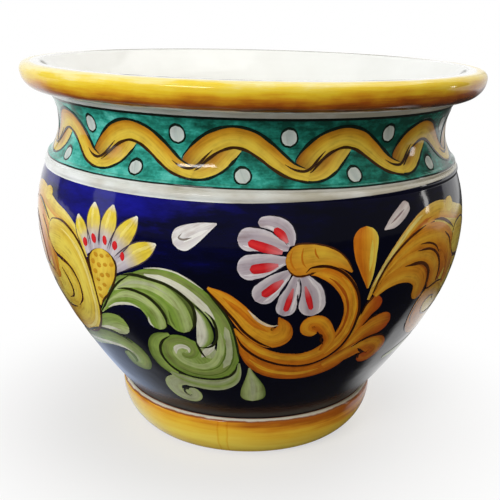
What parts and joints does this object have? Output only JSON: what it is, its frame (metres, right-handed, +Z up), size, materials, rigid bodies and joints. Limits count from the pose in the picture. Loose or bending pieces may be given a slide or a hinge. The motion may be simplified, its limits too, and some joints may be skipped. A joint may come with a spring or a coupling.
{
  "type": "cachepot",
  "caption": "Round glazed earthenware cachepot with a rolled lip, a waisted neck band, a beaded shoulder, a full belly painted with scrolls and flowers, and a ring foot.",
  "frame": {"origin": "on the pot's axis, at the ground plane that the foot ring stands on", "axes": "+Z up along the axis of turning; -Y is the side that the picture shows"},
  "size_m": [0.3, 0.3, 0.246],
  "materials": {
    "terracotta": "bare fired clay, matte",
    "slip": "fired clay slip, matte",
    "white_glaze": "white tin glaze, glossy",
    "yellow_glaze": "brushed yellow glaze, glossy",
    "green_glaze": "green wash under clear glaze, glossy",
    "cobalt_glaze": "cobalt blue ground under clear glaze, glossy"
  },
  "bodies": {
    "root": {"clay_bowl": "terracotta", "clay_collar": "terracotta", "clay_foot_ring": "terracotta", "shoulder_seam_slip": "slip", "foot_seam_slip": "slip", "lining_glaze": "white_glaze", "rim_glaze": "yellow_glaze", "neck_margin_glaze": "white_glaze", "neck_band_glaze": "green_glaze", "fillet_glaze": "white_glaze", "belly_glaze": "cobalt_glaze", "foot_line_glaze": "white_glaze", "foot_glaze": "yellow_glaze"}
  },
  "joints": []
}
